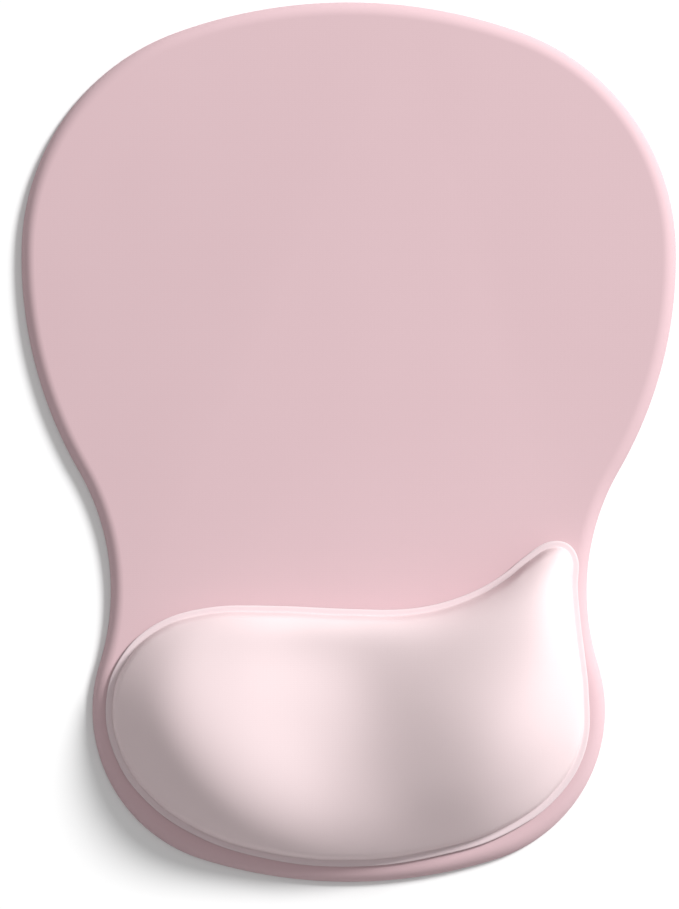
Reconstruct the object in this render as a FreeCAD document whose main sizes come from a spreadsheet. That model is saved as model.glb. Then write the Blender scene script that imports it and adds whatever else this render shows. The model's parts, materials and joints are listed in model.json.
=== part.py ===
import FreeCAD, Part
import math
import os
import Sketcher

# Contoured mouse pad with a raised wrist rest.
# Frame: millimetres, +Z up. The origin is the middle of the underside, on the desk.
# The wrist rest lies towards -Y, the user's side, and the mousing area towards +Y.
# The pad is a laminate in a wrapped cloth, and the rest is a sealed cushion bonded on top of it.

V = FreeCAD.Vector
doc = FreeCAD.newDocument("wrist_rest")

# ---------------------------------------------------------------- driving dimensions
DIMENSIONS = [
    # the outline: arcs that run into each other, from the far edge round to the near edge
    ("pad_length", 250.0, "far edge to near edge"),
    ("top_radius", 144.0, "far edge"),
    ("top_turn", 20.0, "degrees of the far edge's arc, on one side"),
    ("shoulder_radius", 66.5, "upper corner"),
    ("shoulder_turn", 68.5, "degrees"),
    ("side_radius", 121.0, "side of the mousing area"),
    ("side_turn", 31.5, "degrees"),
    ("waist_radius", 68.5, "hollow side between the mousing area and the rest"),
    ("waist_turn", 47.5, "degrees"),
    ("hip_turn", 90.0, "degrees of the lower corner"),
    # the laminate, from the desk up
    ("base_thickness", 1.0, "rubber sheet"),
    ("film_thickness", 0.15, "each hot-melt film"),
    ("core_thickness", 2.1, "foam sheet"),
    ("cloth_thickness", 0.6, "knit cloth over the pad"),
    ("edge_radius", 3.85, "rounded edge of the pad, outside"),
    # the rest, from the cloth up
    ("film_inset", 0.4, "the rest's bond film stops short of its edge"),
    ("backing_thickness", 0.5, "scrim that closes the cushion"),
    ("flange_thickness", 0.6, "pressed border of the cover"),
    ("flange_width", 1.9, "pressed border of the cover"),
    ("cover_thickness", 0.8, "cover over the foam"),
    ("lining_thickness", 0.25, "film between the cover and the foam"),
]


def add_sheet(dimensions):
    sheet = doc.addObject("Spreadsheet::Sheet", "Dimensions")
    for row, (alias, value, note) in enumerate(dimensions, start=1):
        sheet.set(f"A{row}", alias)
        sheet.set(f"B{row}", str(value))
        sheet.set(f"C{row}", note)
        sheet.setAlias(f"B{row}", alias)
    doc.recompute()
    return sheet


sheet = add_sheet(DIMENSIONS)


def size(alias):
    """A driving dimension, read back from the sheet."""
    return float(sheet.get(alias))


# Heights in the stack, worked out from the sheet.
FILM_1 = "Dimensions.base_thickness"
CORE = FILM_1 + " + Dimensions.film_thickness"
FILM_2 = CORE + " + Dimensions.core_thickness"
CLOTH = FILM_2 + " + Dimensions.film_thickness"
PAD_TOP = CLOTH + " + Dimensions.cloth_thickness"
BACKING = PAD_TOP + " + Dimensions.film_thickness"

cloth_level = size("base_thickness") + 2 * size("film_thickness") + size("core_thickness")
pad_top_level = cloth_level + size("cloth_thickness")
backing_level = pad_top_level + size("film_thickness")
flange_level = backing_level + size("backing_thickness")
flange_top_level = flange_level + size("flange_thickness")


# ---------------------------------------------------------------- pad outline
def step_along(place, heading, radius, turn):
    """Follow one arc. Headings turn clockwise from +X; a negative radius turns back."""
    right = V(-math.sin(heading), -math.cos(heading), 0)
    centre = place + right * radius
    new_heading = heading + math.copysign(turn, radius)
    right = V(-math.sin(new_heading), -math.cos(new_heading), 0)
    return centre, centre - right * radius, new_heading


def walk(arcs, start):
    """Centre, start, middle and end of each arc of a smooth run of arcs."""
    place, heading, run = start, 0.0, []
    for radius, turn in arcs:
        centre, middle, _ = step_along(place, heading, radius, turn / 2)
        centre, end, new_heading = step_along(place, heading, radius, turn)
        run.append((centre, place, middle, end))
        place, heading = end, new_heading
    return run


def half_outline(inset):
    """The six arcs of the right half. The last two radii close it on the pad's length."""
    upper = [("top", 1), ("shoulder", 1), ("side", 1), ("waist", -1)]
    arcs = []
    for name, bulge in upper:
        radius = bulge * (size(name + "_radius") - bulge * inset)
        arcs.append((radius, math.radians(size(name + "_turn"))))
    turned = sum(math.copysign(turn, radius) for radius, turn in arcs)
    hip_turn = math.radians(size("hip_turn"))
    bottom_turn = math.pi - turned - hip_turn
    start = V(0, size("pad_length") / 2 - inset, 0)
    goal = V(0, inset - size("pad_length") / 2, 0)

    def miss(hip_radius, bottom_radius):
        run = walk(arcs + [(hip_radius, hip_turn), (bottom_radius, bottom_turn)], start)
        return run[-1][3] - goal

    # The miss is linear in both radii, so three trials give the exact pair.
    trial = 10.0
    at_trial = miss(trial, trial)
    by_hip = miss(trial + 1, trial) - at_trial
    by_bottom = miss(trial, trial + 1) - at_trial
    area = by_hip.x * by_bottom.y - by_hip.y * by_bottom.x
    hip_radius = trial + (by_bottom.x * at_trial.y - by_bottom.y * at_trial.x) / area
    bottom_radius = trial + (by_hip.y * at_trial.x - by_hip.x * at_trial.y) / area
    arcs += [(hip_radius, hip_turn), (bottom_radius, bottom_turn)]
    return arcs, walk(arcs, start)


def plane_of(body, role):
    for feature in body.Origin.OriginFeatures:
        if feature.Role == role:
            return feature
    raise ValueError(role)


def outline_sketch(body, name, inset, inset_rule):
    """Right half of the pad's outline, moved inwards by the inset and closed along the Y axis."""
    sketch = body.newObject("Sketcher::SketchObject", name)
    sketch.AttachmentSupport = [(plane_of(body, "XY_Plane"), "")]
    sketch.MapMode = "FlatFace"
    arcs, run = half_outline(inset)
    entry_points, exit_points = [], []
    for (radius, _), (_, first, middle, last) in zip(arcs, run):
        sketch.addGeometry(Part.Arc(first, middle, last), False)
        entry_points.append(2 if radius > 0 else 1)
        exit_points.append(1 if radius > 0 else 2)
    last_arc = len(arcs) - 1
    spine = sketch.addGeometry(Part.LineSegment(run[-1][3], run[0][1]), False)
    root_point, y_axis, start_point, centre_point = -1, -2, 1, 3
    for arc in range(last_arc):
        joint = ("Tangent", arc, exit_points[arc], arc + 1, entry_points[arc + 1])
        sketch.addConstraint(Sketcher.Constraint(*joint))
    for arc in (0, last_arc):
        sketch.addConstraint(Sketcher.Constraint("PointOnObject", arc, centre_point, y_axis))
    sketch.addConstraint(Sketcher.Constraint("PointOnObject", 0, entry_points[0], y_axis))
    sketch.addConstraint(Sketcher.Constraint("PointOnObject", last_arc, exit_points[last_arc], y_axis))
    sketch.addConstraint(Sketcher.Constraint("Coincident", spine, 1, last_arc, exit_points[last_arc]))
    sketch.addConstraint(Sketcher.Constraint("Coincident", spine, 2, 0, entry_points[0]))

    half = run[0][1].y
    far = Sketcher.Constraint("DistanceY", root_point, start_point, 0, entry_points[0], half)
    near = Sketcher.Constraint("DistanceY", last_arc, exit_points[last_arc], root_point, start_point, half)
    for label, constraint in (("far_edge", far), ("near_edge", near)):
        index = sketch.addConstraint(constraint)
        sketch.renameConstraint(index, label)
        sketch.setExpression("Constraints." + label, f"Dimensions.pad_length / 2 - ({inset_rule})")
    for arc, part in enumerate(("top", "shoulder", "side", "waist")):
        sign = "-" if arcs[arc][0] > 0 else "+"
        index = sketch.addConstraint(Sketcher.Constraint("Radius", arc, abs(arcs[arc][0])))
        sketch.renameConstraint(index, part + "_radius")
        rule = f"Dimensions.{part}_radius {sign} ({inset_rule})"
        sketch.setExpression(f"Constraints.{part}_radius", rule)
    for arc, part in enumerate(("top", "shoulder", "side", "waist", "hip")):
        index = sketch.addConstraint(Sketcher.Constraint("Angle", arc, arcs[arc][1]))
        sketch.renameConstraint(index, part + "_turn")
        sketch.setExpression(f"Constraints.{part}_turn", f"Dimensions.{part}_turn * 1 deg")
    return sketch


def rounded_form(name, inset, inset_rule, height_rule):
    """A plate with the pad's outline and a rounded upper edge: half a plate, mirrored."""
    body = doc.addObject("PartDesign::Body", name)
    sketch = outline_sketch(body, name + "_outline", inset, inset_rule)
    plate = body.newObject("PartDesign::Pad", name + "_plate")
    plate.Profile = sketch
    plate.setExpression("Length", height_rule)
    doc.recompute()
    mirrored = body.newObject("PartDesign::Mirrored", name + "_mirrored")
    mirrored.Originals = [plate]
    mirrored.MirrorPlane = (plane_of(body, "YZ_Plane"), [""])
    body.Tip = mirrored
    doc.recompute()
    top = mirrored.Shape.BoundBox.ZMax
    upper_edges = []
    for number, edge in enumerate(mirrored.Shape.Edges, start=1):
        if edge.BoundBox.ZMin > top - 0.01:
            upper_edges.append(f"Edge{number}")
    rounding = body.newObject("PartDesign::Fillet", name + "_rounding")
    rounding.Base = (mirrored, upper_edges)
    rounding.setExpression("Radius", f"Dimensions.edge_radius - ({inset_rule})")
    body.Tip = rounding
    doc.recompute()
    return body


outer_form = rounded_form("outer_form", 0.0, "0", PAD_TOP)
inner_form = rounded_form(
    "inner_form", size("cloth_thickness"), "Dimensions.cloth_thickness", CLOTH
)


# ---------------------------------------------------------------- pad laminate
def layer(name, bottom_rule, thickness_rule):
    """One sheet of the laminate: the level slice of the form inside the cloth."""
    slab = doc.addObject("Part::Box", name + "_slab")
    slab.setExpression("Length", "Dimensions.pad_length")
    slab.setExpression("Width", "Dimensions.pad_length")
    slab.setExpression("Height", thickness_rule)
    slab.setExpression("Placement.Base.x", "-Dimensions.pad_length / 2")
    slab.setExpression("Placement.Base.y", "-Dimensions.pad_length / 2")
    slab.setExpression("Placement.Base.z", bottom_rule)
    slice_ = doc.addObject("Part::MultiCommon", name)
    slice_.Shapes = [inner_form, slab]
    return slice_


nonslip_base = layer("nonslip_base", "0", "Dimensions.base_thickness")
base_adhesive = layer("base_adhesive", FILM_1, "Dimensions.film_thickness")
pad_core = layer("pad_core", CORE, "Dimensions.core_thickness")
surface_adhesive = layer("surface_adhesive", FILM_2, "Dimensions.film_thickness")

surface_cloth = doc.addObject("Part::Cut", "surface_cloth")
surface_cloth.Base = outer_form
surface_cloth.Tool = inner_form


# ---------------------------------------------------------------- rest outline
# The foot of the rest: level along the mousing area, drawn out to a horn at the right,
# and beside the pad's own edge everywhere else. Corner and mid-side points, anticlockwise.
FOOT_POINTS = [
    (-69.0, -74.0), (-66.0, -90.0), (-57.5, -102.0), (-44.0, -111.5), (-25.0, -118.0),
    (0.0, -120.6), (25.0, -117.6), (46.0, -110.6), (60.5, -99.5), (67.5, -86.5),
    (68.2, -72.0), (66.2, -54.0), (65.0, -40.0), (65.2, -33.5), (62.5, -29.0),
    (57.5, -28.2), (51.0, -31.8), (43.0, -38.2), (33.0, -43.5), (20.0, -47.0),
    (0.0, -47.4), (-22.0, -46.5), (-41.0, -47.2), (-55.0, -51.8), (-65.0, -61.5),
]


def mix(first, second, share):
    return first + (second - first) * share


def closed_curve(points):
    curve = Part.BSplineCurve()
    curve.interpolate(Points=points, PeriodicFlag=True)
    return curve


foot_curve = closed_curve([V(x, y, 0) for x, y in FOOT_POINTS])
OUTLINE_SAMPLES = 480
SAMPLES_PER_KNOT = 8
WALLS = 8


def inset_points(inset):
    """Points evenly spaced in parameter on the foot's outline, moved inwards."""
    first, last = foot_curve.FirstParameter, foot_curve.LastParameter
    points = []
    for index in range(OUTLINE_SAMPLES):
        parameter = first + (last - first) * index / OUTLINE_SAMPLES
        along = foot_curve.tangent(parameter)[0]
        inwards = V(-along.y, along.x, 0)
        points.append(foot_curve.value(parameter) + inwards * inset)
    return points


def outline_face(inset, level):
    """The foot's outline, moved inwards, as a flat face at a level.

    The closed curve is cut into a few edges, so that no wall made from it has a seam.
    """
    curve = foot_curve
    if inset:
        curve = closed_curve(inset_points(inset)[::SAMPLES_PER_KNOT])
    first, last = curve.FirstParameter, curve.LastParameter
    cuts = [mix(first, last, index / WALLS) for index in range(WALLS + 1)]
    edges = [curve.toShape(start, end) for start, end in zip(cuts, cuts[1:])]
    return Part.Face(Part.Wire(edges)).translated(V(0, 0, level))


def flat_piece(name, inset, level_rule, thickness_rule):
    """A thin sheet cut to the foot's outline."""
    outline = doc.addObject("Part::Feature", name + "_outline")
    outline.Shape = outline_face(inset, 0)
    outline.setExpression("Placement.Base.z", level_rule)
    piece = doc.addObject("Part::Extrusion", name)
    piece.Base = outline
    piece.DirMode = "Custom"
    piece.Dir = V(0, 0, 1)
    piece.Solid = True
    piece.setExpression("LengthFwd", thickness_rule)
    return piece


rest_adhesive = flat_piece(
    "rest_adhesive", size("film_inset"), PAD_TOP, "Dimensions.film_thickness"
)
rest_backing = flat_piece("rest_backing", 0, BACKING, "Dimensions.backing_thickness")

# ---------------------------------------------------------------- rest hump
# Cross-sections in the YZ plane at five stations along X, each a parabola: the height of its
# crest above the flange, where the crest is, and how far it falls 40 mm from the crest.
# The stations run from the low outer end to the horn that carries the ball of the thumb.
STATIONS = (-60.0, -30.0, 0.0, 30.0, 60.0)
CREST_HEIGHTS = (6.0, 13.0, 13.5, 20.5, 21.0)
CREST_PLACES = (-76.0, -78.0, -76.0, -71.0, -50.0)
FALLS = (18.0, 4.0, 4.0, 10.0, 16.0)
FALL_REACH = 40.0
END_STATION = 70.0

# The crown never gets thinner than this, and meets that level through a soft knee.
LEAST_CROWN = 2.5
KNEE = 4.0

# The crown rounds down to the flange over these lengths, and its wall starts at this share.
LEFT_ROUNDING = 4.5
RIGHT_ROUNDING = 3.0
NEAR_ROUNDING = 5.0
FAR_ROUNDING = 3.0
WALL_SHARE = 0.35

# Where one rounding gives way to the next, and over what width: in X, then at the two edges.
LEFT_TO_RIGHT = (10.0, 12.0)
TO_NEAR = (-95.0, 5.0)
TO_FAR = (-58.0, 4.0)


def between_stations(values, x):
    """The one smooth curve (Lagrange) through the stations' values."""
    total = 0.0
    for station, value in zip(STATIONS, values):
        for other in STATIONS:
            if other != station:
                value *= (x - other) / (station - other)
        total += value
    return total


def blend(position, middle, width):
    """0 well before the middle, 1 well after it."""
    return 1 / (1 + math.exp(-(position - middle) / width))


def crown_height(x, y):
    """The hump's height before its edges are rounded."""
    x = max(-END_STATION, min(END_STATION, x))
    reach = (y - between_stations(CREST_PLACES, x)) / FALL_REACH
    height = between_stations(CREST_HEIGHTS, x) - between_stations(FALLS, x) * reach**2
    spare = height - LEAST_CROWN
    return LEAST_CROWN + (spare + math.hypot(spare, KNEE)) / 2


def rounding_length(x, y):
    length = mix(LEFT_ROUNDING, RIGHT_ROUNDING, blend(x, *LEFT_TO_RIGHT))
    length = mix(NEAR_ROUNDING, length, blend(y, *TO_NEAR))
    return mix(length, FAR_ROUNDING, blend(y, *TO_FAR))


def edge_share(distance, length):
    """Share of the crown's height at a distance inside the hump's foot."""
    if distance < 0:
        return WALL_SHARE + (1 - WALL_SHARE) * math.tanh(distance / length)
    return 1 - (1 - WALL_SHARE) * math.exp(-distance / length)


def edge_distance(x, y, outline):
    """A smooth distance from the outline, with no crease along the middle of the shape."""
    total = 0.0
    for point_x, point_y, spacing in outline:
        gap = (x - point_x) ** 2 + (y - point_y) ** 2
        total += spacing / max(gap, 0.01) ** 2
    return (total / (math.pi / 2)) ** (-1 / 3)


def is_inside(x, y, outline):
    inside = False
    last_x, last_y, _ = outline[-1]
    for point_x, point_y, _ in outline:
        if (point_y > y) != (last_y > y):
            crossing = last_x + (y - last_y) / (point_y - last_y) * (point_x - last_x)
            if x < crossing:
                inside = not inside
        last_x, last_y = point_x, point_y
    return inside


GRID_PITCH = 2.5
GRID_X = (-75.0, 75.0)
GRID_Y = (-127.5, -22.5)

# How far a wall runs on past the hump before it is cut, out of the way of both faces.
PAST = 100.0


def grid_line(limits):
    count = round((limits[1] - limits[0]) / GRID_PITCH) + 1
    return [limits[0] + GRID_PITCH * index for index in range(count)]


def hump(inset, lowered, bottom):
    """The hump as a solid: a smooth surface over the foot, down to a level bottom."""
    foot_inset = size("flange_width") + inset
    points = inset_points(foot_inset)
    outline = []
    for before, point, after in zip(points[-1:] + points[:-1], points, points[1:] + points[:1]):
        outline.append((point.x, point.y, (after - before).Length / 2))
    rows = []
    for x in grid_line(GRID_X):
        row = []
        for y in grid_line(GRID_Y):
            distance = edge_distance(x, y, outline)
            if not is_inside(x, y, outline):
                distance = -distance
            height = crown_height(x, y) * edge_share(distance, rounding_length(x, y))
            row.append(V(x, y, flange_top_level + height - lowered))
        rows.append(row)
    surface = Part.BSplineSurface()
    surface.interpolate(rows)
    under_surface = surface.toShape().extrude(V(0, 0, -PAST))
    column = outline_face(foot_inset, bottom).extrude(V(0, 0, PAST))
    solid = column.common(under_surface)
    return Part.Solid(solid.Solids[0])


def add_feature(name, shape):
    feature = doc.addObject("Part::Feature", name)
    feature.Shape = shape
    feature.Placement = FreeCAD.Placement()
    return feature


under_cover = size("cover_thickness")
under_lining = under_cover + size("lining_thickness")
whole_hump = hump(0, 0, flange_level)
lining_form = hump(under_cover, under_cover, flange_level)
foam_form = hump(under_lining, under_lining, flange_level)
flange = outline_face(0, flange_level).extrude(V(0, 0, size("flange_thickness")))

rest_foam = add_feature("rest_foam", foam_form)
cover_lining = add_feature("cover_lining", lining_form.cut(foam_form))
rest_cover = add_feature("rest_cover", flange.fuse(whole_hump).cut(lining_form))

# ---------------------------------------------------------------- check and export
NODES = [
    nonslip_base,
    base_adhesive,
    pad_core,
    surface_adhesive,
    surface_cloth,
    rest_adhesive,
    rest_backing,
    rest_foam,
    cover_lining,
    rest_cover,
]

doc.recompute()
for item in doc.Objects:
    if "Invalid" in item.State or "Error" in item.State:
        raise RuntimeError(f"{item.Name} failed: {item.State}")

os.makedirs("parts", exist_ok=True)
for node in NODES:
    shape = node.Shape
    if shape.isNull() or not shape.isValid() or len(shape.Solids) != 1:
        raise RuntimeError(f"{node.Label} is not one valid solid")
    box = shape.BoundBox
    print(f"{node.Label}: {shape.Volume:.0f} mm3, z {box.ZMin:.2f} to {box.ZMax:.2f}")
    shape.exportStep(f"parts/{node.Label}.step")
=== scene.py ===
import json
import math

import bpy
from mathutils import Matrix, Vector

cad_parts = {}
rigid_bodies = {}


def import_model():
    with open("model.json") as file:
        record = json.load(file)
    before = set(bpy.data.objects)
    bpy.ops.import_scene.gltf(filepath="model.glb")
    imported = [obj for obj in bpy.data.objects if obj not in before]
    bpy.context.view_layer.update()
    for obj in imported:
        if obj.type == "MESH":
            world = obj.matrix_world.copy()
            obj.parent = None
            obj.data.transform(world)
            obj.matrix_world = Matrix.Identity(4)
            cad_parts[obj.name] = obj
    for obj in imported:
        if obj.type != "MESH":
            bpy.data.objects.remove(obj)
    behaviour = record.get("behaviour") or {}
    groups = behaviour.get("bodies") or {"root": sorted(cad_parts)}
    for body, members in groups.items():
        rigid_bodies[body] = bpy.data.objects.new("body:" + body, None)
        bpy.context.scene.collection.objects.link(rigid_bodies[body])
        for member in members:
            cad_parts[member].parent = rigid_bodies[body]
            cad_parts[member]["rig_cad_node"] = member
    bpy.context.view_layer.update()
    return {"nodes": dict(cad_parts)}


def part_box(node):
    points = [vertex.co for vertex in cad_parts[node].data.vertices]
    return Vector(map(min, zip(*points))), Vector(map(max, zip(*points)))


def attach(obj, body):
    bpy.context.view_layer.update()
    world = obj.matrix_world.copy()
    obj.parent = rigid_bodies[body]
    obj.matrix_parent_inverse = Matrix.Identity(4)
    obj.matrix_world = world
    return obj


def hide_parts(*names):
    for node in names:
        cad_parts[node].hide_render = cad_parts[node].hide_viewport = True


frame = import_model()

# ---------------------------------------------------------------- the non-slip base
# A sheet of soft rubber, a millimetre thick, that grips the desk. It is moulded with a field of
# shallow hexagonal cups inside a plain border, cut to the pad's outline and glued on.

MM = 0.001
# The pad's outline, one half, from the middle of the far edge: arc radii in millimetres and
# turns in degrees. A negative radius bends the other way, and the last two close the outline.
OUTLINE_ARCS = [
    (144.0, 20.0),
    (66.5, 68.5),
    (121.0, 31.5),
    (-68.5, 47.5),
    (44.334, 90.0),
    (139.218, 17.5),
]
OUTLINE_STEP = 2.4 * MM
CUP_PITCH = 6.0 * MM
CUP_RADIUS = 2.7 * MM
CUP_DEPTH = 0.3 * MM
CUP_BORDER = 5.0 * MM
WELD = 0.1 * MM
pad_low, pad_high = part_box("surface_cloth")
base_low, base_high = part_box("nonslip_base")
cloth_thickness = pad_high.y - base_high.y


def select_only(piece):
    """Leaves one object selected and active, in object mode."""
    bpy.ops.object.select_all(action="DESELECT")
    piece.select_set(True)
    bpy.context.view_layer.objects.active = piece


def new_piece(name):
    """Names the object just added, and its mesh."""
    piece = bpy.context.object
    piece.name = piece.data.name = name
    return piece


def select_nothing_in(piece):
    """Clears a mesh's selection, so that code can select points or faces in object mode."""
    select_only(piece)
    bpy.ops.object.mode_set(mode="EDIT")
    bpy.ops.mesh.select_all(action="DESELECT")
    bpy.ops.object.mode_set(mode="OBJECT")


def apply_modifiers(piece):
    """Applies a piece's modifiers in turn, and leaves it selected and active."""
    select_only(piece)
    for modifier in list(piece.modifiers):
        bpy.ops.object.modifier_apply(modifier=modifier.name)


def pad_outline(name, inset, level):
    """A flat face with the pad's outline, moved inwards: a point spun round each arc in turn."""
    bpy.ops.object.select_all(action="DESELECT")
    bpy.ops.mesh.primitive_plane_add(size=MM)
    piece = new_piece(name)
    place = Vector((0, pad_high.y - inset, level))
    heading = 0.0
    bpy.ops.object.mode_set(mode="EDIT")
    bpy.ops.mesh.merge(type="CENTER")
    bpy.ops.transform.translate(value=place)
    for radius, degrees in OUTLINE_ARCS:
        reach = radius * MM - inset
        swing = math.copysign(math.radians(degrees), radius)
        centre = place + reach * Vector((-math.sin(heading), -math.cos(heading), 0))
        steps = round(abs(radius * MM * swing) / OUTLINE_STEP)
        bpy.ops.mesh.spin(steps=steps, angle=swing, center=centre, axis=(0, 0, 1))
        heading += swing
        place = centre - reach * Vector((-math.sin(heading), -math.cos(heading), 0))
    bpy.ops.mesh.select_all(action="SELECT")
    bpy.ops.mesh.duplicate()
    bpy.ops.transform.resize(value=(-1, 1, 1), center_override=(0, 0, 0))
    bpy.ops.mesh.select_all(action="SELECT")
    bpy.ops.mesh.remove_doubles(threshold=WELD)
    bpy.ops.mesh.edge_face_add()
    bpy.ops.object.mode_set(mode="OBJECT")
    if piece.data.polygons[0].normal.z < 0:
        piece.data.flip_normals()
    return piece


def is_inside(x, y, corners):
    """True if a level line from the point crosses the closed line an odd number of times."""
    inside = False
    for first, second in zip(corners, corners[1:] + corners[:1]):
        if (first.y > y) != (second.y > y):
            share = (y - first.y) / (second.y - first.y)
            if x < first.x + share * (second.x - first.x):
                inside = not inside
    return inside


rubber_base = pad_outline("rubber_base", cloth_thickness, base_low.z)
bpy.ops.object.mode_set(mode="EDIT")
bpy.ops.mesh.select_all(action="SELECT")
rise = {"value": (0, 0, base_high.z - base_low.z)}
bpy.ops.mesh.extrude_region_move(TRANSFORM_OT_translate=rise)
bpy.ops.mesh.select_all(action="SELECT")
bpy.ops.mesh.normals_make_consistent(inside=False)
bpy.ops.object.mode_set(mode="OBJECT")

# The mould's pegs: one hexagonal peg, repeated in staggered rows, less those outside the border.
PEG_SIDES = 6
PEG_CORNERS = 2 * PEG_SIDES
border = pad_outline("cup_border", cloth_thickness + CUP_BORDER, 0)
border_line = [border.data.vertices[index].co for index in border.data.polygons[0].vertices]
row_pitch = CUP_PITCH * math.sqrt(3) / 2
columns = round((base_high.x - base_low.x) / CUP_PITCH)
row_pairs = round((base_high.y - base_low.y) / row_pitch / 2)
corner = (-columns / 2 * CUP_PITCH, -row_pairs * row_pitch, base_low.z)
bpy.ops.object.select_all(action="DESELECT")
bpy.ops.mesh.primitive_cylinder_add(
    vertices=PEG_SIDES, radius=CUP_RADIUS, depth=2 * CUP_DEPTH, location=corner
)
bpy.ops.object.transform_apply(location=True, rotation=False, scale=False)
pegs = new_piece("pegs")
for count, step in (
    (columns, (CUP_PITCH, 0, 0)),
    (2, (CUP_PITCH / 2, row_pitch, 0)),
    (row_pairs, (0, 2 * row_pitch, 0)),
):
    repeat = pegs.modifiers.new("repeat", "ARRAY")
    repeat.count = count
    repeat.use_relative_offset = False
    repeat.use_constant_offset = True
    repeat.constant_offset_displace = step
apply_modifiers(pegs)
select_nothing_in(pegs)
points = pegs.data.vertices
for start in range(0, len(points), PEG_CORNERS):
    peg = points[start : start + PEG_CORNERS]
    centre = sum((point.co for point in peg), Vector()) / PEG_CORNERS
    outside = not is_inside(centre.x, centre.y, border_line)
    for point in peg:
        point.select = outside
bpy.ops.object.mode_set(mode="EDIT")
bpy.ops.mesh.select_mode(type="VERT")
bpy.ops.mesh.delete(type="VERT")
bpy.ops.object.mode_set(mode="OBJECT")

cups = rubber_base.modifiers.new("cups", "BOOLEAN")
cups.operation = "DIFFERENCE"
cups.solver = "EXACT"
cups.object = pegs
apply_modifiers(rubber_base)
bpy.data.objects.remove(pegs)
bpy.data.objects.remove(border)


def linear(hex_colour):
    """A colour, given as sRGB hex, turned to the linear values a shader takes."""
    values = []
    for start in (1, 3, 5):
        value = int(hex_colour[start : start + 2], 16) / 255
        values.append(value / 12.92 if value <= 0.04045 else ((value + 0.055) / 1.055) ** 2.4)
    return (*values, 1.0)


def node(tree, kind, settings=None, inputs=None):
    """Adds a shader node, sets it up, and links each input that is given another's output."""
    made = tree.nodes.new("ShaderNode" + kind)
    for name, value in (settings or {}).items():
        setattr(made, name, value)
    for name, value in (inputs or {}).items():
        if isinstance(value, bpy.types.NodeSocket):
            tree.links.new(value, made.inputs[name])
        else:
            made.inputs[name].default_value = value
    return made


def new_material(name, **shader_values):
    """A material with its Principled shader set up: the material, its nodes, and the shader."""
    material = bpy.data.materials.new(name)
    material.use_nodes = True
    tree = material.node_tree
    shader = tree.nodes["Principled BSDF"]
    for socket, value in shader_values.items():
        shader.inputs[socket.replace("_", " ")].default_value = value
    return material, tree, shader


def dress(piece, material):
    """Gives a piece its material, and ties a new piece to the one body."""
    piece.data.materials.clear()
    piece.data.materials.append(material)
    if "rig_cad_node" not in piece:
        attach(piece, "root")


# Compression-moulded natural rubber: near black, matt, with a faint bloom and a fine mould grain.
RUBBER = "#2B2B2D"
RUBBER_BLOOM = "#3A3A3D"
BLOOM_WIDTH = 18 * MM
MOULD_GRAIN = 0.4 * MM
rubber, tree, shader = new_material("matt_moulded_rubber", Roughness=0.78, IOR=1.52)
place = node(tree, "TexCoord").outputs["Object"]
bloom = node(tree, "TexNoise", inputs={"Vector": place, "Scale": 1 / BLOOM_WIDTH, "Detail": 3.0})
tone = node(
    tree,
    "Mix",
    {"data_type": "RGBA"},
    {0: bloom.outputs["Fac"], 6: linear(RUBBER), 7: linear(RUBBER_BLOOM)},
)
tree.links.new(tone.outputs[2], shader.inputs["Base Color"])
grain = node(tree, "TexNoise", inputs={"Vector": place, "Scale": 1 / MOULD_GRAIN, "Detail": 2.0})
bump = node(
    tree, "Bump", inputs={"Height": grain.outputs["Fac"], "Strength": 0.4, "Distance": 0.05 * MM}
)
tree.links.new(bump.outputs["Normal"], shader.inputs["Normal"])
dress(rubber_base, rubber)
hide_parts("nonslip_base")

# ---------------------------------------------------------------- the pad's cloth
# One piece of fine elastane jersey, stretched over the top, rolled over the edge and tucked down
# to the desk. The rim is a soft quarter-round, as the foam under it is pressed when it is bonded.
EDGE_RADIUS = 3.85 * MM
EDGE_STEPS = 8
RIM_CREASE = 40.0
hem_height = pad_high.z - pad_low.z - EDGE_RADIUS

pad_cloth = pad_outline("pad_cloth", 0, pad_low.z)

bpy.ops.object.mode_set(mode="EDIT")
bpy.ops.mesh.select_all(action="SELECT")
bpy.ops.mesh.extrude_region_move(TRANSFORM_OT_translate={"value": (0, 0, hem_height)})
for step in range(EDGE_STEPS):
    before = math.pi / 2 * step / EDGE_STEPS
    after = math.pi / 2 * (step + 1) / EDGE_STEPS
    inwards = EDGE_RADIUS * (math.cos(before) - math.cos(after))
    upwards = EDGE_RADIUS * (math.sin(after) - math.sin(before))
    bpy.ops.mesh.inset(thickness=inwards, depth=upwards, use_even_offset=True)
bpy.ops.object.mode_set(mode="OBJECT")

# The underside of the form isn't cloth: the sheet is open there, round the base.
FACING_DOWN = -0.9
select_nothing_in(pad_cloth)
for face in pad_cloth.data.polygons:
    face.select = face.normal.z < FACING_DOWN
bpy.ops.object.mode_set(mode="EDIT")
bpy.ops.mesh.select_mode(type="FACE")
bpy.ops.mesh.delete(type="ONLY_FACE")
bpy.ops.object.mode_set(mode="OBJECT")

# The cloth's own flat layout, in metres: the rim is unrolled outwards, along its normal. The
# level top, whose normals lean by less than this, is flat already.
LEAST_LEAN = 0.01
layout = pad_cloth.data.uv_layers.new(name="flat_cloth")
for loop in pad_cloth.data.loops:
    point = pad_cloth.data.vertices[loop.vertex_index]
    outwards = Vector((point.normal.x, point.normal.y))
    height = min(max((point.co.z - pad_low.z - hem_height) / EDGE_RADIUS, 0.0), 1.0)
    turn = math.acos(height)
    unrolled = EDGE_RADIUS * (turn - math.sin(turn)) + max(hem_height - point.co.z, 0.0)
    if outwards.length > LEAST_LEAN:
        outwards.normalize()
    layout.data[loop.index].uv = point.co.xy + outwards * unrolled

wall = pad_cloth.modifiers.new("thickness", "SOLIDIFY")
wall.thickness = cloth_thickness
wall.offset = -1.0
wall.use_even_offset = True
apply_modifiers(pad_cloth)
bpy.ops.object.shade_smooth_by_angle(angle=math.radians(RIM_CREASE))

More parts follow.
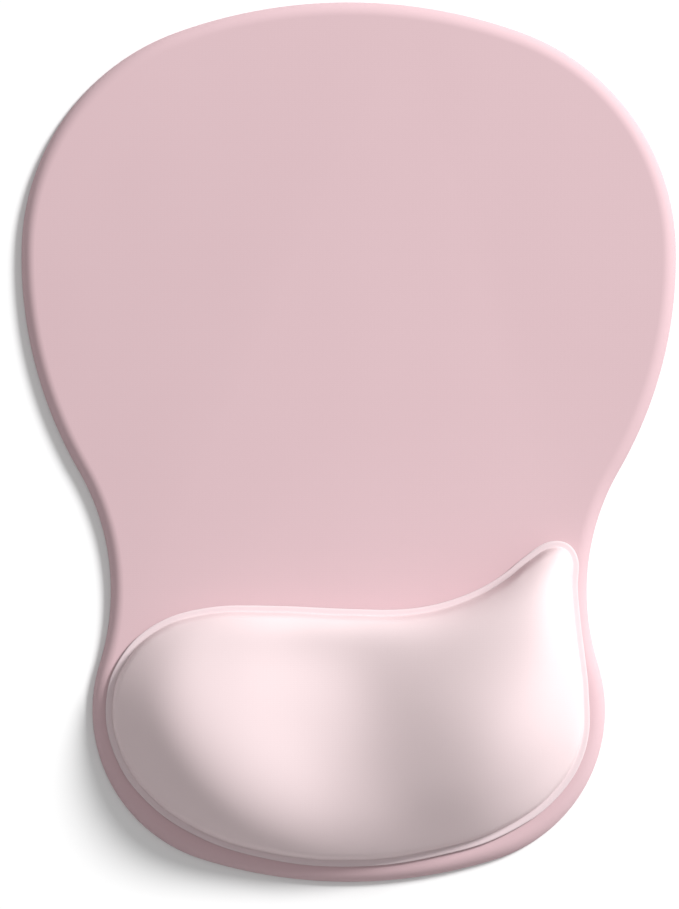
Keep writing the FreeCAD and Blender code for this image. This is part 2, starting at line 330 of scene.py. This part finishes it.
# Elastane jersey is knitted in columns of small V-shaped stitches. The real ones are about half a
# millimetre wide. They are drawn coarser than that, and shallow, so that they show close up only.
WALE = 0.80 * MM
COURSE = 0.60 * MM
STITCH_HEIGHT = 0.03 * MM
# How far a leg of a stitch leans, as a share of a course.
STITCH_SLANT = 0.5
# Fibre ends stand between the stitches, and each batch of yarn takes the dye in broad drifts.
FUZZ_WIDTH = 0.5 * MM
FUZZ_SHARE = 0.35
DRIFT_WIDTH = 35 * MM
DRIFT_SHARE = 0.4
# How much darker the valleys between the stitches are painted than their tops: painted shade, not
# the yarn's colour.
STITCH_PAINTED_SHADE = 0.15
LEAST_LIGHTNESS = 0.25
JERSEY_RELIEF = 0.25


def jersey_stitches(tree):
    """The height of a jersey's face, 0 to 1: two slanted legs to each stitch of each column."""
    flat = node(tree, "UVMap", {"uv_map": "flat_cloth"}).outputs["UV"]
    place = node(tree, "SeparateXYZ", inputs={0: flat})
    times = {"operation": "MULTIPLY"}
    sine = {"operation": "SINE"}
    column = node(tree, "Math", times, {0: place.outputs["X"], 1: 2 / WALE}).outputs[0]
    from_middle = node(tree, "Math", {"operation": "PINGPONG"}, {0: column, 1: 1.0}).outputs[0]
    slant = node(tree, "Math", times, {0: from_middle, 1: STITCH_SLANT}).outputs[0]
    along = node(tree, "Math", times, {0: place.outputs["Y"], 1: 1 / COURSE}).outputs[0]
    turns = node(tree, "Math", {"operation": "ADD"}, {0: along, 1: slant}).outputs[0]
    phase = node(tree, "Math", times, {0: turns, 1: math.tau}).outputs[0]
    wave = node(tree, "Math", sine, {0: phase}).outputs[0]
    leg = node(tree, "Math", {"operation": "MULTIPLY_ADD"}, {0: wave, 1: 0.5, 2: 0.5}).outputs[0]
    half_turn = node(tree, "Math", times, {0: from_middle, 1: math.pi}).outputs[0]
    roundness = node(tree, "Math", sine, {0: half_turn}).outputs[0]
    return node(tree, "Math", times, {0: leg, 1: roundness}).outputs[0]


def jersey(name, light_yarn, deep_yarn_and_shade, **shader_values):
    """A knit cloth: painted shade darkens it between the stitches, and its yarn is a little deeper
    in broad faint drifts.
    """
    material, tree, shader = new_material(name, **shader_values)
    stitches = jersey_stitches(tree)
    place = node(tree, "TexCoord").outputs["Object"]
    drift = node(tree, "TexNoise", inputs={"Vector": place, "Scale": 1 / DRIFT_WIDTH, "Detail": 2.0})
    fuzz = node(tree, "TexNoise", inputs={"Vector": place, "Scale": 1 / FUZZ_WIDTH, "Detail": 3.0})
    # Painted shade: the colour is darker in the valleys between the stitches. The broad drifts are
    # the dye's own.
    lightness = node(
        tree,
        "Math",
        {"operation": "MULTIPLY_ADD"},
        {0: stitches, 1: STITCH_PAINTED_SHADE, 2: LEAST_LIGHTNESS},
    ).outputs[0]
    lightness = node(
        tree,
        "Math",
        {"operation": "MULTIPLY_ADD"},
        {0: drift.outputs["Fac"], 1: DRIFT_SHARE, 2: lightness},
    ).outputs[0]
    tone = node(
        tree,
        "Mix",
        {"data_type": "RGBA"},
        {0: lightness, 6: linear(deep_yarn_and_shade), 7: linear(light_yarn)},
    )
    tree.links.new(tone.outputs[2], shader.inputs["Base Color"])
    height = node(
        tree,
        "Math",
        {"operation": "MULTIPLY_ADD"},
        {0: fuzz.outputs["Fac"], 1: FUZZ_SHARE, 2: stitches},
    ).outputs[0]
    bump = node(
        tree,
        "Bump",
        inputs={"Height": height, "Strength": JERSEY_RELIEF, "Distance": STITCH_HEIGHT},
    )
    tree.links.new(bump.outputs["Normal"], shader.inputs["Normal"])
    return material


# Dusty pink, dyed in the yarn, matt, with the soft bright edge that fine fibres give.
surface_jersey = jersey(
    "dusty_pink_elastane_jersey",
    light_yarn="#D3B6BB",
    deep_yarn_and_shade="#CEB0B5",
    Roughness=0.85,
    IOR=1.46,
    Specular_IOR_Level=0.12,
    Sheen_Weight=0.03,
    Sheen_Roughness=0.45,
)
dress(pad_cloth, surface_jersey)
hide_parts("surface_cloth")

# ---------------------------------------------------------------- films and foam sheet
# The pad's laminate under the cloth: a hot-melt film, a two-millimetre foam sheet and a second
# film, pressed together hot, and a third film that bonds the rest to the cloth.

# Thin polyurethane film, milky and faintly waxy, with small flow marks from the hot press.
FLOW_MARK = 6 * MM
film, tree, shader = new_material("milky_hot_melt_film", Roughness=0.42, IOR=1.5)
place = node(tree, "TexCoord").outputs["Object"]
flow = node(tree, "TexNoise", inputs={"Vector": place, "Scale": 1 / FLOW_MARK, "Detail": 4.0})
tone = node(
    tree,
    "Mix",
    {"data_type": "RGBA"},
    {0: flow.outputs["Fac"], 6: linear("#E3DFD0"), 7: linear("#F2EFE6")},
)
tree.links.new(tone.outputs[2], shader.inputs["Base Color"])
bump = node(
    tree, "Bump", inputs={"Height": flow.outputs["Fac"], "Strength": 0.2, "Distance": 0.1 * MM}
)
tree.links.new(bump.outputs["Normal"], shader.inputs["Normal"])
for name in ("base_adhesive", "surface_adhesive", "rest_adhesive"):
    dress(frame["nodes"][name], film)

# Closed-cell foam rubber, dark grey and dull, its skin full of fine cells.
FOAM_CELL = 0.5 * MM
sheet_foam, tree, shader = new_material("closed_cell_foam_rubber", Roughness=0.9, IOR=1.5)
place = node(tree, "TexCoord").outputs["Object"]
cells = node(tree, "TexVoronoi", inputs={"Vector": place, "Scale": 1 / FOAM_CELL})
tone = node(
    tree,
    "Mix",
    {"data_type": "RGBA"},
    {0: cells.outputs["Distance"], 6: linear("#4A4A4D"), 7: linear("#5C5C60")},
)
tree.links.new(tone.outputs[2], shader.inputs["Base Color"])
bump = node(
    tree, "Bump", inputs={"Height": cells.outputs["Distance"], "Strength": 0.6, "Distance": 0.1 * MM}
)
tree.links.new(bump.outputs["Normal"], shader.inputs["Normal"])
dress(frame["nodes"]["pad_core"], sheet_foam)

# ---------------------------------------------------------------- the rest's backing
# A thin bonded nonwoven that closes the cushion underneath. Its cut edge shows as a fine pale
# line under the cover's lip.
FIBRE = 0.12 * MM
scrim, tree, shader = new_material("bonded_nonwoven_scrim", Roughness=0.9, IOR=1.45)
place = node(tree, "TexCoord").outputs["Object"]
fibres = node(
    tree,
    "TexNoise",
    inputs={"Vector": place, "Scale": 1 / (4 * FIBRE), "Detail": 6.0, "Distortion": 2.0},
)
tone = node(
    tree,
    "Mix",
    {"data_type": "RGBA"},
    {0: fibres.outputs["Fac"], 6: linear("#DCCFD0"), 7: linear("#EBE1E1")},
)
tree.links.new(tone.outputs[2], shader.inputs["Base Color"])
bump = node(
    tree, "Bump", inputs={"Height": fibres.outputs["Fac"], "Strength": 0.5, "Distance": FIBRE}
)
tree.links.new(bump.outputs["Normal"], shader.inputs["Normal"])
dress(frame["nodes"]["rest_backing"], scrim)

# ---------------------------------------------------------------- the cushion's skin
# The rest is one moulded block of slow-rebound foam under a stretched jersey cover. Its foot is
# level along the mousing area, drawn out to a horn at the right, and follows the pad elsewhere.
# Everything in the rest is made from one skin: the outer face of the cover.

# The foot of the rest, in millimetres: corner and mid-side points, anticlockwise.
FOOT_POINTS = [
    (-69.0, -74.0), (-66.0, -90.0), (-57.5, -102.0), (-44.0, -111.5), (-25.0, -118.0),
    (0.0, -120.6), (25.0, -117.6), (46.0, -110.6), (60.5, -99.5), (67.5, -86.5),
    (68.2, -72.0), (66.2, -54.0), (65.0, -40.0), (65.2, -33.5), (62.5, -29.0),
    (57.5, -28.2), (51.0, -31.8), (43.0, -38.2), (33.0, -43.5), (20.0, -47.0),
    (0.0, -47.4), (-22.0, -46.5), (-41.0, -47.2), (-55.0, -51.8), (-65.0, -61.5),
]
FOOT_STEPS = 168
# The crown's grid: how many faces run down its longer sides, and how many times it is relaxed
# so that its faces are even.
GRID_SPAN = 56
RELAXING = 60
# The skin starts this far over the block, and is drawn down on to it.
CLEARANCE = 10 * MM
cover_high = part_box("rest_cover")[1]
backing_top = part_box("rest_backing")[1].z

# The cover's border, pressed flat round the block, as rings inwards from its cut edge: how far
# each is from the one before, and its height over the backing. The last is the pressed line.
LIP_RINGS = [(0.0, 0.22), (0.15, 0.38), (0.30, 0.46), (0.90, 0.46), (0.60, 0.40)]
# The wall of the block, as further rings: how far in each is, and its share of the wall's rise.
WALL_RINGS = [(0.10, 0.30), (0.25, 0.65), (0.55, 1.0)]
# Rings of the turn into the crown, level with what lies under them.
CROWN_RINGS = [0.7, 0.8]


def evenly(points, count):
    """The same closed line, with its points spaced evenly along it."""
    spans = [(after - before).length for before, after in zip(points, points[1:] + points[:1])]
    step = sum(spans) / count
    even, index, walked = [], 0, 0.0
    for number in range(count):
        while walked + spans[index] < number * step:
            walked += spans[index]
            index += 1
        share = (number * step - walked) / spans[index]
        even.append(points[index].lerp(points[(index + 1) % len(points)], share))
    return even


bpy.ops.object.select_all(action="DESELECT")
bpy.ops.curve.primitive_bezier_circle_add()
foot = new_piece("foot")
knots = foot.data.splines[0].bezier_points
knots.add(len(FOOT_POINTS) - len(knots))
for knot, (x, y) in zip(knots, FOOT_POINTS):
    knot.co = (x * MM, y * MM, 0)
    knot.handle_left_type = knot.handle_right_type = "AUTO"
foot.data.resolution_u = 32
select_only(foot)
bpy.ops.object.convert(target="MESH")
foot = bpy.context.object
foot_line = evenly([point.co.copy() for point in foot.data.vertices], FOOT_STEPS)
bpy.data.objects.remove(foot)

bpy.ops.object.select_all(action="DESELECT")
bpy.ops.mesh.primitive_circle_add(vertices=FOOT_STEPS, fill_type="NGON")
skin = new_piece("skin")
for point, place in zip(skin.data.vertices, foot_line):
    point.co = place
select_only(skin)
ring_steps = [step for step, height in LIP_RINGS + WALL_RINGS] + CROWN_RINGS
bpy.ops.object.mode_set(mode="EDIT")
bpy.ops.mesh.select_all(action="SELECT")
for step in ring_steps[1:]:
    bpy.ops.mesh.inset(thickness=step * MM, depth=0, use_even_offset=True)
bpy.ops.mesh.fill_grid(span=GRID_SPAN)
bpy.ops.mesh.select_less()
bpy.ops.mesh.vertices_smooth(factor=0.5, repeat=RELAXING)
bpy.ops.object.mode_set(mode="OBJECT")

# The knit's layout on the flat blank, before it is drawn over the block.
layout = skin.data.uv_layers.new(name="flat_cloth")
for loop in skin.data.loops:
    layout.data[loop.index].uv = skin.data.vertices[loop.vertex_index].co.xy


def ring(number):
    """The points of one ring: each inset adds a ring, so they come one after another."""
    start = number * FOOT_STEPS
    return range(start, start + FOOT_STEPS)


for point in skin.data.vertices:
    point.co.z = cover_high.z + CLEARANCE
fit = skin.modifiers.new("fit", "SHRINKWRAP")
fit.target = frame["nodes"]["rest_cover"]
fit.wrap_method = "PROJECT"
fit.use_project_z = True
fit.use_negative_direction = True
fit.use_positive_direction = False
apply_modifiers(skin)
points = skin.data.vertices

# The last strokes on the crown, in millimetres: the middle of each, its reach along X and along
# Y, and how far it lifts or sinks the foam there. Most began as the output of a shading fit, and
# were merged and rounded to whole 5 mm and half millimetres. The rest were listed one by one.
STROKES = [
    (60, -40, 45, 40, 4.0),  # the horn's shoulder
    (25, -40, 30, 45, 3.5),  # the slope up to it
    (40, -85, 40, 30, 4.5),  # the right lobe
    (20, -105, 30, 20, 1.0),
    (40, -120, 45, 20, -2.0),  # the near edge, eased for the palm
    (55, -105, 20, 40, -1.0),
    (-35, -95, 30, 25, 2.0),  # the left lobe
    (-35, -80, 40, 40, 2.5),
    (-40, -50, 30, 25, 2.5),
    (-55, -70, 20, 30, 2.0),
    (-30, -60, 35, 15, -1.5),  # the shallow scoop behind the far edge
    (-5, -50, 45, 10, 4.0),  # the far edge, left crisp
    (35, -40, 15, 10, 2.0),
    (45, -35, 15, 10, 3.0),
]
LEAST_WALL = 1.0 * MM


def stroked(place):
    """How far the strokes move the crown at a place."""
    lift = 0.0
    for x, y, reach_x, reach_y, height in STROKES:
        across = (place.x / MM - x) / reach_x
        along = (place.y / MM - y) / reach_y
        lift += height * MM * max(1 - across**2 - along**2, 0) ** 2
    return lift


lowest_crown = backing_top + LIP_RINGS[-1][1] * MM + LEAST_WALL
for point in points:
    point.co.z = max(point.co.z + stroked(point.co), lowest_crown)
for number, (step, height) in enumerate(LIP_RINGS):
    for index in ring(number):
        points[index].co.z = backing_top + height * MM
lip_end = len(LIP_RINGS) - 1
top_of_wall = lip_end + len(WALL_RINGS)
for number, (step, share) in enumerate(WALL_RINGS[:-1], start=lip_end + 1):
    for low, middle, high in zip(ring(lip_end), ring(number), ring(top_of_wall)):
        points[middle].co.z = points[low].co.z + share * (points[high].co.z - points[low].co.z)

# The cover's material needs to know where the border is pressed.
pressed = skin.data.attributes.new("pressed", "FLOAT", "POINT")
for index in range(lip_end * FOOT_STEPS):
    pressed.data[index].value = 1.0

# Facets of the block's solid are smoothed away, in height only.
SMOOTHING = 4
inner = (top_of_wall + 1) * FOOT_STEPS
select_nothing_in(skin)
for point in points[inner:]:
    point.select = True
bpy.ops.object.mode_set(mode="EDIT")
bpy.ops.mesh.select_mode(type="VERT")
bpy.ops.mesh.vertices_smooth(factor=0.5, repeat=SMOOTHING, xaxis=False, yaxis=False)
bpy.ops.object.mode_set(mode="OBJECT")

# The cover is drawn over the block, and the foam swells it until the jersey holds it: it moves
# little, because the cover is tight. What folds that leaves are then evened out.
SWELL_FRAMES = 20
SWELL_PRESSURE = 3.0
MOST_SWELL = 0.8 * MM
EVENING = 12
unswollen = [point.co.copy() for point in points]
held = skin.vertex_groups.new(name="held")
held.add(list(range((lip_end + 1) * FOOT_STEPS)), 1.0, "REPLACE")
cloth = skin.modifiers.new("cloth", "CLOTH")
settings = cloth.settings
settings.quality = 6
settings.mass = 0.3
settings.tension_stiffness = settings.compression_stiffness = 15.0
settings.shear_stiffness = 5.0
settings.bending_stiffness = 25.0
settings.use_pressure = True
settings.uniform_pressure_force = SWELL_PRESSURE
settings.vertex_group_mass = "held"
settings.effector_weights.gravity = 0.0
cloth.collision_settings.use_collision = False
scene = bpy.context.scene
for number in range(1, SWELL_FRAMES + 1):
    scene.frame_set(number)
apply_modifiers(skin)
scene.frame_set(1)
skin.vertex_groups.clear()
points = skin.data.vertices
for point, start in zip(points, unswollen):
    move = point.co - start
    if move.length > MOST_SWELL:
        point.co = start + move * (MOST_SWELL / move.length)
select_nothing_in(skin)
for point in points[inner:]:
    point.select = True
bpy.ops.object.mode_set(mode="EDIT")
bpy.ops.mesh.vertices_smooth(factor=0.5, repeat=EVENING)
bpy.ops.object.mode_set(mode="OBJECT")


# ---------------------------------------------------------------- the foam block
# Slow-rebound polyurethane foam, moulded in one piece: cream, soft and fine-celled, with a thin
# moulding skin. It is hidden, and gives the cover its shape.
CUSHION_CREASE = 50.0
cover_thickness = cover_high.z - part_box("cover_lining")[1].z
lining_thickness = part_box("cover_lining")[1].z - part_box("rest_foam")[1].z


def block_skin(name, depth):
    """The skin over the block alone, sunk evenly to a depth, its edge drawn down to the backing."""
    select_only(skin)
    bpy.ops.object.duplicate()
    piece = new_piece(name)
    select_nothing_in(piece)
    for index in range(lip_end * FOOT_STEPS):
        piece.data.vertices[index].select = True
    bpy.ops.object.mode_set(mode="EDIT")
    bpy.ops.mesh.select_mode(type="VERT")
    bpy.ops.mesh.delete(type="VERT")
    bpy.ops.mesh.select_all(action="SELECT")
    bpy.ops.transform.shrink_fatten(value=-depth, use_even_offset=True)
    bpy.ops.mesh.region_to_loop()
    bpy.ops.mesh.extrude_edges_move()
    bpy.ops.transform.resize(value=(1, 1, 0), center_override=(0, 0, backing_top))
    bpy.ops.object.mode_set(mode="OBJECT")
    return piece


def soften(piece):
    """One level of subdivision, applied, and smooth shading but for real edges."""
    subdivide = piece.modifiers.new("soften", "SUBSURF")
    subdivide.levels = subdivide.render_levels = 1
    apply_modifiers(piece)
    bpy.ops.object.shade_smooth_by_angle(angle=math.radians(CUSHION_CREASE))


cushion_foam = block_skin("cushion_foam", cover_thickness + lining_thickness)
bpy.ops.object.mode_set(mode="EDIT")
bpy.ops.mesh.edge_face_add()
bpy.ops.object.mode_set(mode="OBJECT")
soften(cushion_foam)

BLOCK_CELL = 0.6 * MM
block_foam, tree, shader = new_material("slow_rebound_foam", Roughness=0.85, IOR=1.45)
place = node(tree, "TexCoord").outputs["Object"]
cells = node(tree, "TexVoronoi", inputs={"Vector": place, "Scale": 1 / BLOCK_CELL})
tone = node(
    tree,
    "Mix",
    {"data_type": "RGBA"},
    {0: cells.outputs["Distance"], 6: linear("#E9DFC4"), 7: linear("#F6F0DE")},
)
tree.links.new(tone.outputs[2], shader.inputs["Base Color"])
bump = node(
    tree, "Bump", inputs={"Height": cells.outputs["Distance"], "Strength": 0.5, "Distance": 0.1 * MM}
)
tree.links.new(bump.outputs["Normal"], shader.inputs["Normal"])
dress(cushion_foam, block_foam)
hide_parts("rest_foam")

# ---------------------------------------------------------------- the cover's lining
# The same hot-melt film, a quarter of a millimetre thick, that laminates the cover to the foam.
# It follows the block all over and stops at the backing.
cushion_lining = block_skin("cushion_lining", cover_thickness)
wall = cushion_lining.modifiers.new("thickness", "SOLIDIFY")
wall.thickness = lining_thickness
wall.offset = -1.0
wall.use_even_offset = True
apply_modifiers(cushion_lining)
soften(cushion_lining)
dress(cushion_lining, film)
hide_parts("cover_lining")

# ---------------------------------------------------------------- the cover
# A stretched jersey, brushed on its face, with a border that is pressed flat and sealed to the
# backing all round the block. The skin makes its outside, and a copy of it, sunk, its inside.
cover_inside = block_skin("cover_inside", cover_thickness)
bpy.ops.object.mode_set(mode="EDIT")
bpy.ops.mesh.select_all(action="SELECT")
bpy.ops.mesh.flip_normals()
bpy.ops.object.mode_set(mode="OBJECT")

select_only(skin)
bpy.ops.object.duplicate()
cushion_cover = new_piece("cushion_cover")
bpy.ops.object.mode_set(mode="EDIT")
bpy.ops.mesh.select_all(action="SELECT")
bpy.ops.mesh.region_to_loop()
bpy.ops.mesh.extrude_edges_move()
bpy.ops.transform.resize(value=(1, 1, 0), center_override=(0, 0, backing_top))
bpy.ops.object.mode_set(mode="OBJECT")
cover_inside.select_set(True)
bpy.ops.object.join()
bpy.ops.object.mode_set(mode="EDIT")
bpy.ops.mesh.select_mode(type="EDGE")
bpy.ops.mesh.select_all(action="DESELECT")
bpy.ops.mesh.select_non_manifold()
bpy.ops.mesh.bridge_edge_loops()
bpy.ops.object.mode_set(mode="OBJECT")
bpy.data.objects.remove(skin)
soften(cushion_cover)

# Paler than the pad, matt, with a short brushed pile that softens its highlights.
rest_jersey = jersey(
    "pale_pink_brushed_jersey",
    light_yarn="#E7D4D6",
    deep_yarn_and_shade="#E2CED0",
    Roughness=0.8,
    IOR=1.46,
    Specular_IOR_Level=0.15,
    Sheen_Weight=0.03,
    Sheen_Roughness=0.4,
)
# Pressed hot, the border's pile lies flat, and the pink of the pad shows through it a little.
PRESSED_BORDER = "#DCCBCE"
tree = rest_jersey.node_tree
shader = tree.nodes["Principled BSDF"]
knit = shader.inputs["Base Color"].links[0].from_socket
pressed_share = node(tree, "Attribute", {"attribute_name": "pressed"}).outputs["Fac"]
tone = node(
    tree,
    "Mix",
    {"data_type": "RGBA"},
    {0: pressed_share, 6: knit, 7: linear(PRESSED_BORDER)},
)
tree.links.new(tone.outputs[2], shader.inputs["Base Color"])
dress(cushion_cover, rest_jersey)
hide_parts("rest_cover")

# ---------------------------------------------------------------- floor, light and camera
# A plain white table under a soft studio key from the right and far side, low enough to model
# the rest. The white surround is brightest overhead and fades to nothing at the table's level.
# The camera looks straight down through a long lens.
KEY_AZIMUTH = 38.0
KEY_ELEVATION = 31.0
KEY_SPREAD = 15.0
KEY_SHARE = 0.69
SURROUND = 0.44
OVERHEAD = 1.5
FLOOR_SIZE = 20.0
FLOOR_WHITE = (0.9, 0.9, 0.9, 1)

bpy.ops.object.select_all(action="DESELECT")
bpy.ops.mesh.primitive_plane_add(size=FLOOR_SIZE)
floor = new_piece("floor")
table, tree, shader = new_material("white_table", Base_Color=FLOOR_WHITE, Roughness=0.9)
floor.data.materials.append(table)

bpy.ops.object.light_add(type="SUN")
key = bpy.context.object
key.name = "key"
key.rotation_euler = (math.radians(90 - KEY_ELEVATION), 0, math.radians(90 + KEY_AZIMUTH))
key.data.angle = math.radians(KEY_SPREAD)
key.data.energy = KEY_SHARE * math.pi / math.sin(math.radians(KEY_ELEVATION))

world = bpy.data.worlds.new("studio")
bpy.context.scene.world = world
world.use_nodes = True
tree = world.node_tree
surround = tree.nodes["Background"]
surround.inputs["Color"].default_value = (1, 1, 1, 1)
direction = node(tree, "TexCoord").outputs["Generated"]
height = node(tree, "SeparateXYZ", inputs={"Vector": direction}).outputs["Z"]
glow = node(
    tree,
    "Math",
    {"operation": "MULTIPLY", "use_clamp": True},
    {0: height, 1: OVERHEAD * SURROUND},
)
tree.links.new(glow.outputs[0], surround.inputs["Strength"])
bpy.context.scene.view_settings.view_transform = "Standard"
bpy.context.scene.view_settings.look = "None"

VIEW_CENTRE = Vector((-2.64 * MM, -3.55 * MM, pad_high.z))
VIEW_HEIGHT = 258.2 * MM
LENS = 600.0
SENSOR = 36.0
bpy.ops.object.camera_add()
camera = bpy.context.object
camera.data.lens = LENS
camera.data.sensor_width = SENSOR
distance = VIEW_HEIGHT / 2 / (SENSOR / 2 / LENS)
camera.location = VIEW_CENTRE + Vector((0, 0, distance))
camera.rotation_euler = (0, 0, 0)
camera.data.clip_start = distance / 2
camera.data.clip_end = distance * 2
bpy.context.scene.camera = camera
